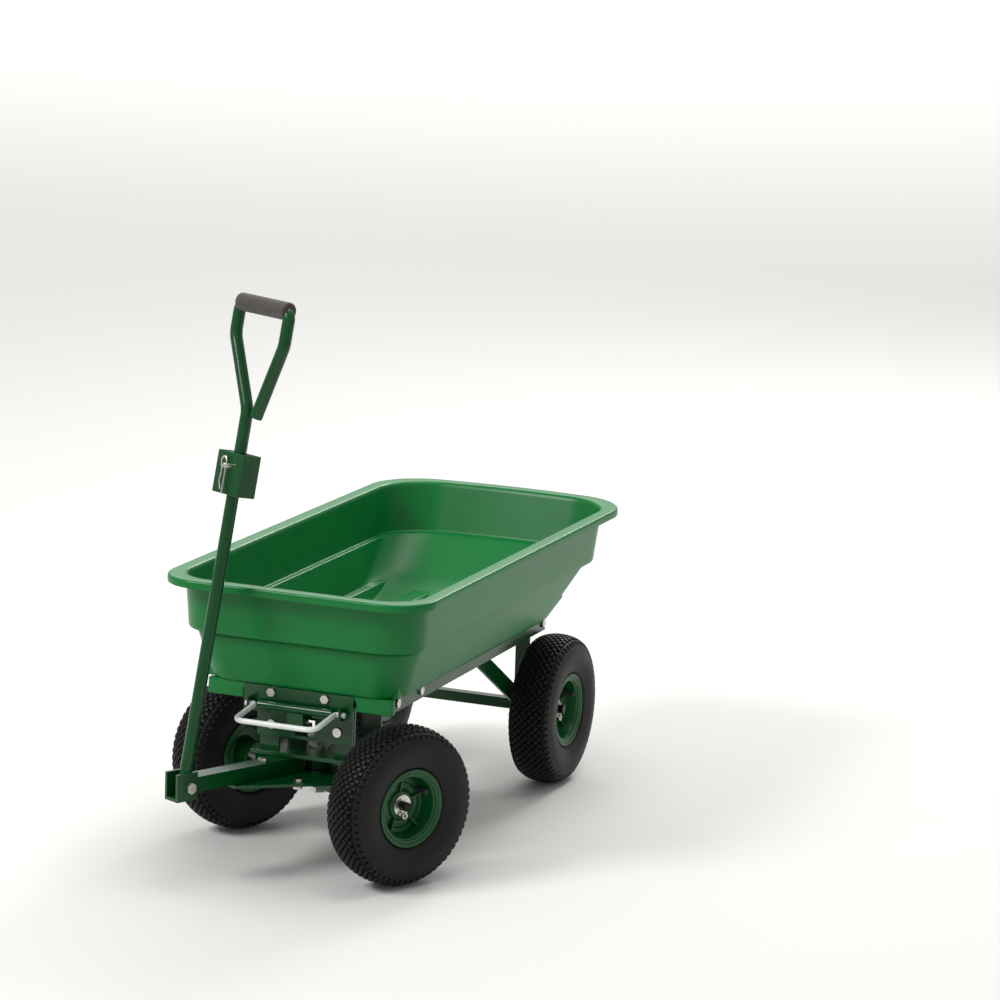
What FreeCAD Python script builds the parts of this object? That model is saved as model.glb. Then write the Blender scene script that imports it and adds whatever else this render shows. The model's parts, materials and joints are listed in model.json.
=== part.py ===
import FreeCAD, Part
import math
import os
import re

import Sketcher
from FreeCAD import Placement, Rotation, Vector

# Garden dump cart.  Millimetres, +Z up, the drawbar end faces -Y.  Left and right are as seen by a person who
# stands at the drawbar end and looks at the cart, so +X is right.  The origin is on the ground, at the middle
# of the cart's bounding box.  The front axle is stored turned by steer_rest, so everything on it is drawn
# straight ahead, about the kingpin, and turned once.

SIZES = {
    # wheelbase, track and steering
    "rear_axle_y": 331.77, "wheelbase": 603.0, "axle_height": 130.0,
    "front_track": 399.0, "rear_track": 342.0, "steer_rest": 26.0,
    # wheel
    "tyre_radius": 130.0, "tyre_width": 78.0, "tyre_wall": 4.5, "rim_radius": 64.0, "rim_width": 64.0,
    "bead_radius": 53.0, "barrel_radius": 49.0, "hub_radius": 21.5, "hub_inner_end": 36.0,
    "hub_outer_end": 6.0, "disc_back": 3.0, "disc_front": 1.0, "bearing_radius": 17.5,
    "bearing_width": 11.0, "axle_radius": 7.5, "running_gap": 0.05, "washer_radius": 17.0,
    "washer_thickness": 2.5, "axle_overhang": 22.0, "cotter_radius": 1.5, "valve_y": 35.0, "valve_z": 20.0,
    # chassis rails and cross bars
    "rail_outer_x": 150.0, "rail_top": 294.7, "rail_flange": 30.0, "rail_height": 28.0, "rail_wall": 3.0,
    "rail_front": 668.0, "rail_rear": 6.0, "bar_width": 25.0, "bar_height": 24.0,
    "front_bar_at": 640.0, "middle_bar_at": 545.0, "rear_bar_at": 6.5,
    # bolster, posts and swivel
    "post_x": 66.0, "post_width": 34.0, "post_thickness": 5.0, "front_post_at": 652.0, "back_post_at": 545.0,
    "bolster_top": 182.0, "bolster_thickness": 6.0, "bolster_half_width": 92.0, "bolster_front": 672.0,
    "bolster_back": 528.0, "swivel_radius": 30.0, "swivel_bottom": 150.4, "kingpin_radius": 8.0,
    # rear legs
    "beam_width": 18.0, "beam_half_length": 125.0, "rear_post_x": 112.0, "rear_post_width": 20.0,
    "brace_thickness": 5.0, "brace_run": 57.0, "brace_foot": 25.0, "brace_head": 282.0,
    # tipping hinge
    "hinge_back": 42.0, "hinge_height": 278.0, "hinge_radius": 6.0, "hinge_half_length": 112.0,
    "lug_x": 90.0, "lug_thickness": 6.0, "lug_radius": 15.0, "strap_x": 99.0, "strap_thickness": 6.0,
    "strap_length": 150.0, "strap_width": 22.0,
    # steered front axle
    "front_beam_width": 25.0, "front_beam_bottom": 115.0, "front_beam_top": 145.0,
    "front_beam_half": 150.0, "yoke_thickness": 5.0, "yoke_half_width": 112.0, "yoke_nose": 190.0,
    "tongue_width": 30.0, "tongue_height": 25.0, "tongue_start": 45.0, "tongue_end": 262.0,
    "pivot_reach": 278.0, "pivot_height": 160.0, "pivot_radius": 5.0,
    "clevis_length": 40.0, "clevis_gap": 11.2, "clevis_wall": 5.0, "clevis_bottom": 139.0,
    "clevis_top": 184.0,
    # drawbar and handle, measured along the bar from its pivot
    "drawbar_lean": 10.9, "tube_radius": 10.0, "tube_wall": 2.0, "drawbar_foot": 10.0,
    "drawbar_length": 488.0, "box_bottom": 467.0, "box_height": 67.0, "box_width": 65.0, "box_depth": 34.0,
    "box_wall": 3.0, "hitch_pin_at": 512.0, "hitch_pin_radius": 4.0, "handle_start": 499.0,
    "loop_bend": 603.0, "loop_half_width": 60.0, "loop_left_shoulder": 716.0, "loop_right_shoulder": 712.0,
    "loop_top": 767.0, "loop_end": 594.0, "loop_end_x": 23.5, "grip_radius": 14.5, "grip_half": 61.0,
    # tray: outside of the wall
    "tray_base": 295.0, "tray_step": 378.0, "tray_lip_bottom": 449.0, "tray_rim": 467.0,
    "tray_front": 754.0, "tray_rear": 218.0, "tray_half_width": 232.0, "tray_wall": 4.0,
    "lip_width": 23.0, "front_corner": 72.0, "rear_corner": 102.0, "rear_bow_radius": 1150.0,
    "rib_height": 12.0, "rib_inner": 62.0, "rib_outer": 94.0, "rib_flank": 8.0, "rib_end": 8.0,
    "ledge_height": 22.0, "ledge_inner": 150.0, "ledge_flank": 10.0, "ledge_end": 42.0,
    "skirt_front": 688.0, "skirt_depth": 16.0, "skirt_half_width": 162.0, "skirt_notch": 97.0,
    "skirt_bottom": 270.0,
    # latch at the front of the tray
    "latch_y": 702.0, "latch_z": 266.0, "latch_half_width": 70.0, "latch_reach": 80.0, "latch_drop": 8.0,
    "latch_wire_radius": 4.5, "bracket_half_width": 96.0, "bracket_wall": 3.0, "ear_x": 79.0,
    "striker_half_width": 84.0, "striker_bottom": 206.0, "striker_y": 664.0, "striker_wall": 4.0,
}

doc = FreeCAD.newDocument("garden_cart")
sheet = doc.addObject("Spreadsheet::Sheet", "Sizes")
for row, (alias, value) in enumerate(SIZES.items(), start=1):
    sheet.set(f"A{row}", alias)
    sheet.set(f"B{row}", str(value))
    sheet.setAlias(f"B{row}", alias)
doc.recompute()

PARTS = []
STEERED = "placement(vector(0; rear_axle_y - wheelbase; 0); rotationz(-steer_rest))"
LEANED = STEERED + " * placement(vector(0; -pivot_reach; pivot_height); rotationx(-drawbar_lean))"
AXIS_TURN = {"x": "rotationy(90)", "y": "rotationx(-90)", "z": "rotationz(0)"}


def bound(text):
    """Write the sheet's name before each alias in an expression."""
    return re.sub(r"[a-z][a-z_]+", lambda word: f"Sizes.{word[0]}" if word[0] in SIZES else word[0], text)


def size(alias):
    """The number that a cell of the sheet holds."""
    return float(sheet.get(alias))


# ---- small helpers: primitives, booleans and nodes ----

def primitive(kind, name, fields, placement=None):
    shape = doc.addObject(f"Part::{kind}", name)
    for field, text in fields.items():
        shape.setExpression(field, bound(text))
    if placement:
        shape.setExpression("Placement", bound(placement))
    return shape


def box(name, length, width, height, at):
    """A box whose low corner is at the three expressions of `at`."""
    fields = {"Length": length, "Width": width, "Height": height}
    return primitive("Box", name, fields, f"placement(vector({'; '.join(at)}); rotationz(0))")


def rod(name, radius, length, at, axis="z"):
    """A cylinder that starts at `at` and runs along an axis."""
    place = f"placement(vector({'; '.join(at)}); {AXIS_TURN[axis]})"
    return primitive("Cylinder", name, {"Radius": radius, "Height": length}, place)


def hexagon(name, radius, length, at, axis="z"):
    place = f"placement(vector({'; '.join(at)}); {AXIS_TURN[axis]})"
    return primitive("Prism", name, {"Circumradius": radius, "Height": length}, place)


def ring(name, outer, inner, length, at, axis="z"):
    low = dict(zip("xyz", at))
    low[axis] = f"{low[axis]} - 1"
    hole = rod(f"{name}_hole", inner, f"{length} + 2", tuple(low.values()), axis)
    return cut(name, rod(f"{name}_disc", outer, length, at, axis), hole)


def cut(name, base, *tools):
    tool = tools[0] if len(tools) == 1 else fuse(f"{name}_tools", *tools)
    result = doc.addObject("Part::Cut", name)
    result.Base, result.Tool = base, tool
    return result


def fuse(name, *pieces):
    result = doc.addObject("Part::MultiFuse", name)
    result.Shapes = list(pieces)
    return result


def group(name, *pieces):
    """Separate solids that share one node."""
    result = doc.addObject("Part::Compound", name)
    result.Links = list(pieces)
    return result


def mirrored(name, source):
    """The same piece on the other side of the cart's middle plane."""
    result = doc.addObject("Part::Mirroring", name)
    result.Source = source
    result.Normal = Vector(1, 0, 0)
    return result


def node(shape, placement=None, label=None):
    """Register a sub-part: its label names its file."""
    shape.Label = label or shape.Name
    if placement:
        shape.setExpression("Placement", bound(placement))
    PARTS.append(shape)
    return shape


def feature(name, shape, placement=None):
    """A sub-part whose shape is worked out from the sheet with Part's own functions."""
    result = doc.addObject("Part::Feature", name)
    result.Shape = shape
    if placement:
        result.setExpression("Placement", bound(placement))
    return result


def outline_sketch(body, name, plane, points):
    """A closed outline on one of the body's own planes, each corner held by two bound distances."""
    sketch = body.newObject("Sketcher::SketchObject", name)
    support = next(item for item in body.Origin.OriginFeatures if item.Role == plane)
    sketch.AttachmentSupport = [(support, "")]
    sketch.MapMode = "FlatFace"
    count = len(points)
    spots = [Vector(50 * math.cos(2 * math.pi * i / count), 50 * math.sin(2 * math.pi * i / count), 0)
             for i in range(count)]
    for i in range(count):
        sketch.addGeometry(Part.LineSegment(spots[i], spots[(i + 1) % count]), False)
    for i in range(count):
        sketch.addConstraint(Sketcher.Constraint("Coincident", i, 2, (i + 1) % count, 1))
    for i, corner in enumerate(points):
        for kind, text, start in zip(("DistanceX", "DistanceY"), corner, (spots[i].x, spots[i].y)):
            index = sketch.addConstraint(Sketcher.Constraint(kind, -1, 1, i, 1, start))
            sketch.setExpression(f"Constraints[{index}]", bound(text))
    return sketch


def padded_body(name, plane, points, length):
    """A PartDesign body: one outline, padded."""
    body = doc.addObject("PartDesign::Body", name)
    sketch = outline_sketch(body, f"{name}_outline", plane, points)
    pad = body.newObject("PartDesign::Pad", f"{name}_pad")
    pad.Profile = sketch
    pad.setExpression("Length", bound(length))
    return body


def rounded_path(points, radii):
    """Straight runs joined by tangent arcs: points in order, one radius for each inner point."""
    edges = []
    start = Vector(*points[0])
    for i, radius in enumerate(radii, start=1):
        corner = Vector(*points[i])
        back = (Vector(*points[i - 1]) - corner).normalize()
        ahead = (Vector(*points[i + 1]) - corner).normalize()
        half = back.getAngle(ahead) / 2
        reach = radius / math.tan(half)
        middle = corner + (back + ahead).normalize() * (radius / math.sin(half) - radius)
        entry, leave = corner + back * reach, corner + ahead * reach
        if (entry - start).Length > 1e-6:
            edges.append(Part.makeLine(start, entry))
        edges.append(Part.Arc(entry, middle, leave).toShape())
        start = leave
    edges.append(Part.makeLine(start, Vector(*points[-1])))
    return Part.Wire(edges)


def swept(path, radius):
    """A round bar along a path."""
    first = path.Edges[0]
    begin = first.valueAt(first.FirstParameter)
    profile = Part.Wire([Part.makeCircle(radius, begin, first.tangentAt(first.FirstParameter))])
    return path.makePipeShell([profile], True, False)


# ---- chassis ----

def side_rails():
    """Angle iron, its upright leg outside and its front lower corner rounded off."""
    outer, top, inner = "rail_outer_x", "rail_top", "rail_outer_x - rail_flange"
    points = [(inner, top), (outer, top), (outer, f"{top} - rail_height"),
              ("rail_outer_x - rail_wall", f"{top} - rail_height"),
              ("rail_outer_x - rail_wall", f"{top} - rail_wall"), (inner, f"{top} - rail_wall")]
    rail = padded_body("side_rail_right_blank", "XZ_Plane", points, "rail_front + rail_rear")
    rail.setExpression("Placement.Base.y", bound("rear_axle_y + rail_rear"))
    low = ("rail_outer_x - rail_wall - 1", "rear_axle_y - rail_front - 1", "rail_top - rail_height - 1")
    square = box("rail_corner", "rail_wall + 2", "15", "15", low)
    arc = rod("rail_corner_round", "14", "rail_wall + 4",
              ("rail_outer_x - rail_wall - 2", "rear_axle_y - rail_front + 14",
               "rail_top - rail_height + 14"), "x")
    right = cut("side_rail_right", rail, cut("rail_corner_waste", square, arc))
    node(right)
    node(mirrored("side_rail_left", right))


def cross_bars():
    """Bars of U section, open below, between the rails' upright legs."""
    inside = "(rail_outer_x - rail_wall)"
    for place in ("front", "middle", "rear"):
        low_y = f"rear_axle_y - {place}_bar_at - bar_width / 2"
        low_z = "rail_top - rail_wall - bar_height"
        bar = box(f"{place}_bar_blank", f"2 * {inside}", "bar_width", "bar_height",
                  (f"-{inside}", low_y, low_z))
        hollow = box(f"{place}_bar_hollow", f"2 * {inside} + 2", "bar_width - 6", "bar_height",
                     (f"-{inside} - 1", f"{low_y} + 3", f"{low_z} - 3"))
        node(cut(f"cross_bar_{place}", bar, hollow))


def bolster():
    """Four flat posts carry a plate with the swivel boss that the front axle turns on."""
    height = "rail_top - rail_wall - bar_height - bolster_top"
    for place in ("front", "back"):
        low_y = f"rear_axle_y - {place}_post_at - post_thickness / 2"
        right = box(f"{place}_post_right", "post_width", "post_thickness", height,
                    ("post_x - post_width / 2", low_y, "bolster_top"))
        node(right)
        node(mirrored(f"{place}_post_left", right))
    low = ("-bolster_half_width", "rear_axle_y - bolster_front", "bolster_top - bolster_thickness")
    plate = box("bolster_blank", "2 * bolster_half_width", "bolster_front - bolster_back",
                "bolster_thickness", low)
    centre = ("0", "rear_axle_y - wheelbase")
    boss = rod("swivel_boss", "swivel_radius", "bolster_top - bolster_thickness - swivel_bottom",
               (*centre, "swivel_bottom"))
    hole = rod("swivel_hole", "kingpin_radius + running_gap", "60", (*centre, "swivel_bottom - 10"))
    node(cut("bolster_plate", fuse("bolster_solid", plate, boss), hole))


def rear_legs():
    """The rear axle beam, its through rod, two square posts and two flat diagonal braces."""
    half = "beam_half_length"
    beam = box("rear_beam_blank", f"2 * {half}", "beam_width", "beam_width",
               (f"-{half}", "rear_axle_y - beam_width / 2", "axle_height - beam_width / 2"))
    bore = rod("rear_beam_bore", "axle_radius + running_gap", f"2 * {half} + 4",
               (f"-{half} - 2", "rear_axle_y", "axle_height"), "x")
    node(cut("rear_axle_beam", beam, bore))
    reach = "(rear_track / 2 + axle_overhang)"
    shaft = rod("rear_axle_shaft", "axle_radius", f"2 * {reach}",
                (f"-{reach}", "rear_axle_y", "axle_height"), "x")
    holes = [cotter_hole(f"rear_cotter_hole_{side}", f"{sign}(rear_track / 2 + 15)",
                         "rear_axle_y", "axle_height") for side, sign in (("right", ""), ("left", "-"))]
    node(cut("rear_axle_rod", shaft, *holes))
    top = "rail_top - rail_wall - bar_height"
    foot = "axle_height + beam_width / 2"
    low_x, low_y = "rear_post_x - rear_post_width / 2", "rear_axle_y - beam_width / 2"
    post = box("rear_post_blank", "rear_post_width", "beam_width", f"{top} - ({foot})", (low_x, low_y, foot))
    hollow = box("rear_post_hollow", "rear_post_width - 5", "beam_width - 5", f"{top} - ({foot}) + 2",
                 (f"{low_x} + 2.5", f"{low_y} + 2.5", f"{foot} - 1"))
    right = cut("rear_post_right", post, hollow)
    node(right)
    node(mirrored("rear_post_left", right))
    base_y, head_y = "rear_axle_y - brace_foot", "rear_axle_y - brace_head"
    points = [(f"{base_y} - brace_run / 2", foot), (f"{base_y} + brace_run / 2", foot),
              (f"{head_y} + brace_run / 2", "rail_top - rail_wall"),
              (f"{head_y} - brace_run / 2", "rail_top - rail_wall")]
    brace = padded_body("rear_brace_right", "YZ_Plane", points, "brace_thickness")
    node(brace, "placement(vector(rear_post_x + rear_post_width / 2; 0; 0); rotationz(0))")
    node(mirrored("rear_brace_left", brace))


def tipping_hinge():
    """Two lugs on the rear cross bar hold the rod that the tray tips about."""
    back = "rear_axle_y + hinge_back"
    lugs = []
    for side, sign in (("right", 1), ("left", -1)):
        low_x = f"{sign} * lug_x - lug_thickness / 2"
        start_y = "rear_axle_y - rear_bar_at + bar_width / 2"
        plate = box(f"lug_plate_{side}", "lug_thickness", "hinge_back + rear_bar_at - bar_width / 2",
                    "23", (low_x, start_y, "hinge_height - 11"))
        eye = rod(f"lug_eye_{side}", "lug_radius - 3", "lug_thickness", (low_x, back, "hinge_height"), "x")
        hole = rod(f"lug_hole_{side}", "hinge_radius + running_gap", "lug_thickness + 2",
                   (f"{low_x} - 1", back, "hinge_height"), "x")
        lugs.append(cut(f"lug_{side}", fuse(f"lug_solid_{side}", plate, eye), hole))
    node(group("tip_hinge_lugs", *lugs))
    shaft = rod("hinge_shaft", "hinge_radius", "2 * hinge_half_length",
                ("-hinge_half_length", back, "hinge_height"), "x")
    heads = [rod(f"hinge_head_{side}", "hinge_radius + 3", "3", (start, back, "hinge_height"), "x")
             for side, start in (("right", "hinge_half_length"), ("left", "-hinge_half_length - 3"))]
    node(fuse("tip_hinge_rod", shaft, *heads))


def striker():
    """The plate below the front cross bar that the latch's nose faces, with its slot."""
    low = ("-striker_half_width", "rear_axle_y - striker_y", "striker_bottom")
    plate = box("striker_blank", "2 * striker_half_width", "striker_wall",
                "rail_top - rail_wall - striker_bottom", low)
    slot = box("striker_slot", "36", "20", "28",
               ("-18", "rear_axle_y - striker_y - 8", "latch_z - 54"))
    node(cut("latch_striker", plate, slot))


def frame_bolts():
    """Round-headed bolts through the rails into the cross bars, and through the striker."""
    bolts = []
    for side, sign in (("right", 1), ("left", -1)):
        for place in ("front", "middle", "rear"):
            axis_y = f"rear_axle_y - {place}_bar_at"
            start = f"{sign} * (rail_outer_x + 1.75) - 1.75"
            bolts.append(rod(f"rail_bolt_{side}_{place}", "7.5", "3.5",
                             (start, axis_y, "rail_top - rail_height / 2"), "x"))
    for x in ("-58", "58"):
        bolts.append(rod(f"striker_bolt_{len(bolts)}", "7.5", "3.5",
                         (x, "rear_axle_y - striker_y - 3.5", "striker_bottom + 20"), "y"))
    node(group("frame_bolts", *bolts))


# ---- steered front axle, drawn straight ahead about the kingpin ----

def cotter_hole(name, x, y, z):
    return rod(name, "cotter_radius + running_gap", "2 * axle_radius + 4", (x, y, f"{z} - axle_radius - 2"))


def front_axle():
    half = "front_beam_half"
    beam = box("front_beam_blank", f"2 * {half}", "front_beam_width", "front_beam_top - front_beam_bottom",
               (f"-{half}", "-front_beam_width / 2", "front_beam_bottom"))
    pin_hole = rod("front_beam_pin_hole", "kingpin_radius + running_gap", "60",
                   ("0", "0", "front_beam_bottom - 10"))
    bores = [rod(f"front_beam_bore_{side}", "axle_radius + running_gap", "92", (start, "0", "axle_height"), "x")
             for side, start in (("right", f"{half} - 90"), ("left", f"-{half} - 2"))]
    node(cut("front_axle_beam", beam, pin_hole, *bores), STEERED)
    stubs = []
    length = "(front_track / 2 + axle_overhang - front_beam_half + 88)"
    for side, start, sign in (("right", f"{half} - 88", ""), ("left", f"-{half} + 88 - {length}", "-")):
        shaft = rod(f"stub_shaft_{side}", "axle_radius", length, (start, "0", "axle_height"), "x")
        hole = cotter_hole(f"stub_hole_{side}", f"{sign}(front_track / 2 + 15)", "0", "axle_height")
        stubs.append(cut(f"stub_{side}", shaft, hole))
    node(group("front_stub_axles", *stubs), STEERED)


def yoke():
    """The flat steering plate on the axle beam, narrowing to the tongue."""
    back, wide, nose = "30", "yoke_half_width", "tongue_width / 2 + 6"
    points = [(f"-{wide}", back), (wide, back), (wide, "-20"), (nose, "-yoke_nose"),
              (f"-({nose})", "-yoke_nose"), (f"-{wide}", "-20")]
    blank = padded_body("yoke_blank", "XY_Plane", points, "yoke_thickness")
    blank.setExpression("Placement.Base.z", bound("front_beam_top"))
    hole = rod("yoke_hole", "kingpin_radius + running_gap", "20", ("0", "0", "front_beam_top - 5"))
    small = [rod(f"yoke_hole_{side}", "4 + running_gap", "20", (x, y, "front_beam_top - 5"))
             for side, x, y in (("right", "58", "-92"), ("left", "-58", "-92"), ("nose", "0", "-118"))]
    node(cut("yoke_plate", blank, hole, *small), STEERED)


def tongue():
    """The square tube from the yoke out to the drawbar's clevis."""
    low = ("-tongue_width / 2", "-tongue_end", "front_beam_top + yoke_thickness")
    tube = box("tongue_blank", "tongue_width", "tongue_end - tongue_start", "tongue_height", low)
    hollow = box("tongue_hollow", "tongue_width - 5", "tongue_end - tongue_start + 2",
                 "tongue_height - 5", ("-tongue_width / 2 + 2.5", "-tongue_end - 1",
                                       "front_beam_top + yoke_thickness + 2.5"))
    hole = rod("tongue_hole", "4 + running_gap", "60", ("0", "-118", "front_beam_top"))
    node(cut("tongue", tube, hollow, hole), STEERED)


def clevis():
    """A U of plate at the tongue's end: two cheeks and a web below, open to the front."""
    width = "2 * (clevis_gap + clevis_wall)"
    back = "-tongue_end"
    block = box("clevis_blank", width, "clevis_length", "clevis_top - clevis_bottom",
                ("-clevis_gap - clevis_wall", f"{back} - clevis_length", "clevis_bottom"))
    gap = box("clevis_gap_block", "2 * clevis_gap", "clevis_length + 2", "clevis_top - clevis_bottom",
              ("-clevis_gap", f"{back} - clevis_length - 1", "clevis_bottom + clevis_wall"))
    hole = rod("clevis_hole", "pivot_radius + running_gap", f"{width} + 4",
               ("-clevis_gap - clevis_wall - 2", "-pivot_reach", "pivot_height"), "x")
    node(cut("clevis", block, gap, hole), STEERED)


def bolt(name, radius, length, at, axis, sign=1, nut=True):
    """A hexagon bolt: the head starts at `at`, the shank runs from it, and a nut closes the far end."""
    spots = dict(zip("xyz", at))
    start = spots[axis]
    shank_at = dict(spots, **{axis: f"{start}" if sign > 0 else f"{start} - ({length})"})
    head_at = dict(spots, **{axis: f"{start} - 0.65 * ({radius})*2" if sign > 0 else start})
    nut_at = dict(spots, **{axis: f"{start} + ({length})" if sign > 0
                            else f"{start} - ({length}) - 0.8 * ({radius})*2"})
    pieces = [rod(f"{name}_shank", radius, length, tuple(shank_at.values()), axis),
              hexagon(f"{name}_head", f"1.9 * ({radius})", f"0.65 * ({radius})*2", tuple(head_at.values()), axis)]
    if nut:
        pieces.append(hexagon(f"{name}_nut", f"1.9 * ({radius})", f"0.8 * ({radius})*2",
                              tuple(nut_at.values()), axis))
    return fuse(name, *pieces)


def steering_fasteners():
    pin = rod("kingpin_shank", "kingpin_radius", "82", ("0", "0", "front_beam_bottom"))
    head = hexagon("kingpin_head", "14", "8", ("0", "0", "front_beam_bottom - 8"))
    washer = ring("kingpin_washer", "17", "kingpin_radius + running_gap", "2.5",
                  ("0", "0", "bolster_top + 0.3"))
    nut = cut("kingpin_nut_solid", hexagon("kingpin_nut_blank", "14", "13", ("0", "0", "bolster_top + 3")),
              rod("kingpin_nut_hole", "kingpin_radius + running_gap", "20", ("0", "0", "bolster_top")))
    node(group("kingpin", fuse("kingpin_bolt", pin, head), washer, nut), STEERED)
    node(bolt("drawbar_pivot_bolt", "pivot_radius", "2 * (clevis_gap + clevis_wall)",
              ("clevis_gap + clevis_wall", "-pivot_reach", "pivot_height"), "x", sign=-1), STEERED)
    plate_top = "front_beam_top + yoke_thickness"
    screws = [bolt("tongue_bolt", "4", "tongue_height + yoke_thickness",
                   ("0", "-118", f"{plate_top} + tongue_height"), "z", sign=-1)]
    for side, x in (("right", "58"), ("left", "-58")):
        screws.append(bolt(f"yoke_bolt_{side}", "4", "yoke_thickness", (x, "-92", plate_top), "z", sign=-1))
    node(group("steering_bolts", *screws), STEERED)


def hub_fasteners(prefix, half_track, beam_end, centre_y, placement=None):
    """Washers and spacers each side of both hubs, and a split pin through each axle end."""
    washers, cotters = [], []
    for side, sign in (("right", 1), ("left", -1)):
        outside = f"({half_track} + hub_outer_end + 0.3)"
        start = outside if sign > 0 else f"-{outside} - washer_thickness"
        washers.append(ring(f"{prefix}_washer_{side}", "washer_radius", "axle_radius + running_gap",
                            "washer_thickness", (start, centre_y, "axle_height"), "x"))
        spacer = f"({half_track} - hub_inner_end - 0.3 - {beam_end})"
        start = beam_end if sign > 0 else f"-{beam_end} - {spacer}"
        washers.append(ring(f"{prefix}_spacer_{side}", "8.9", "axle_radius + running_gap", spacer,
                            (start, centre_y, "axle_height"), "x"))
        at_x = f"{sign} * ({half_track} + 15)"
        leg = rod(f"{prefix}_pin_leg_{side}", "cotter_radius", "23", (at_x, centre_y, "axle_height - 12"))
        eye = primitive("Torus", f"{prefix}_pin_eye_{side}", {"Radius1": "4", "Radius2": "cotter_radius + 0.3"},
                        f"placement(vector({at_x}; {centre_y}; axle_height - 16); rotationy(90))")
        cotters.append(fuse(f"{prefix}_pin_{side}", leg, eye))
    node(group(f"{prefix}_hub_washers", *washers), placement)
    node(group(f"{prefix}_split_pins", *cotters), placement)


# ---- drawbar and handle, drawn along +Z from the pivot ----

def drawbar():
    tube = rod("drawbar_blank", "tube_radius", "drawbar_length + drawbar_foot", ("0", "0", "-drawbar_foot"))
    inside = rod("drawbar_inside", "tube_radius - tube_wall", "drawbar_length + drawbar_foot + 4",
                 ("0", "0", "-drawbar_foot - 2"))
    eye = rod("drawbar_eye", "pivot_radius + 2.5", "2 * tube_radius - 1", ("-tube_radius + 0.5", "0", "0"), "x")
    hole = rod("drawbar_eye_hole", "pivot_radius + running_gap", "4 * tube_radius",
               ("-2 * tube_radius", "0", "0"), "x")
    round_foot = primitive("Sphere", "drawbar_round_foot", {"Radius": "drawbar_foot + 3"})
    reach = box("drawbar_upper", "60", "60", "drawbar_length", ("-30", "-30", "0"))
    keep = fuse("drawbar_keep", round_foot, reach)
    solid = cut("drawbar_solid", fuse("drawbar_with_eye", cut("drawbar_tube_hollow", tube, inside), eye), hole)
    trimmed = doc.addObject("Part::Common", "drawbar_tube")
    trimmed.Base, trimmed.Tool = solid, keep
    node(trimmed, LEANED)


def coupling_box():
    """A folded box that joins the handle to the drawbar with a pin."""
    low = ("-box_width / 2", "-box_depth / 2", "box_bottom")
    block = box("coupling_blank", "box_width", "box_depth", "box_height", low)
    inside = box("coupling_inside", "box_width - 2 * box_wall", "box_depth - 2 * box_wall",
                 "box_height - 2 * box_wall",
                 ("-box_width / 2 + box_wall", "-box_depth / 2 + box_wall", "box_bottom + box_wall"))
    tube_hole = rod("coupling_tube_hole", "tube_radius + running_gap", "box_height + 10",
                    ("0", "0", "box_bottom - 5"))
    pin_hole = rod("coupling_pin_hole", "hitch_pin_radius + running_gap", "box_depth + 10",
                   ("0", "-box_depth / 2 - 5", "hitch_pin_at"), "y")
    node(cut("coupling_box", block, inside, tube_hole, pin_hole), LEANED)


def handle_path():
    half, top = size("loop_half_width"), size("loop_top")
    corners = [(0, 0, size("handle_start")), (0, 0, size("loop_bend")),
               (-half, 0, size("loop_left_shoulder")), (-half, 0, top), (half + 2, 0, top),
               (half + 2, 0, size("loop_right_shoulder")), (size("loop_end_x"), 0, size("loop_end"))]
    return rounded_path(corners, [45, 45, 15, 15, 45])


def handle():
    """The D-shaped pull handle: one bent tube, its free end just clear of its shank, and a foam sleeve."""
    path = handle_path()
    outside = swept(path, size("tube_radius"))
    inside = swept(path, size("tube_radius") - size("tube_wall"))
    pin_z, gap = size("hitch_pin_at"), size("hitch_pin_radius") + size("running_gap")
    pin_hole = Part.makeCylinder(gap, 60, Vector(0, -30, pin_z), Vector(0, 1, 0))
    node(feature("handle_tube", outside.cut(inside).cut(pin_hole), LEANED))
    half, top = size("grip_half"), size("loop_top")
    sleeve = Part.makeCylinder(size("grip_radius"), 2 * half, Vector(1 - half, 0, top), Vector(1, 0, 0))
    rounded = sleeve.makeFillet(3, [edge for edge in sleeve.Edges if edge.Curve.TypeId == "Part::GeomCircle"])
    node(feature("hand_grip", rounded.cut(outside), LEANED))


def hitch_pin():
    """The pin through the coupling box and the spring clip that holds it."""
    front = "-box_depth / 2 - 13"
    shank = rod("hitch_shank", "hitch_pin_radius", "box_depth + 15", ("0", front, "hitch_pin_at"), "y")
    head = rod("hitch_head", "hitch_pin_radius + 3.5", "3.5", ("0", "box_depth / 2 + 2", "hitch_pin_at"), "y")
    hole = rod("hitch_clip_hole", "1.55", "20", ("0", "-box_depth / 2 - 7", "hitch_pin_at - 10"))
    node(cut("hitch_pin", fuse("hitch_pin_solid", shank, head), hole), LEANED)
    pin_z, clip_y = size("hitch_pin_at"), -size("box_depth") / 2 - 7
    straight = [(0, clip_y, pin_z - 44), (0, clip_y, pin_z + 9)]
    loop = [(-6, clip_y, pin_z + 17), (-13, clip_y, pin_z + 9), (-7.5, clip_y, pin_z - 10),
            (-11, clip_y, pin_z - 24), (-5, clip_y, pin_z - 38)]
    wire = swept(rounded_path(straight + loop, [5, 5, 8, 12, 12]), 1.5)
    node(feature("r_clip", wire, LEANED))


# ---- tray ----

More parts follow.
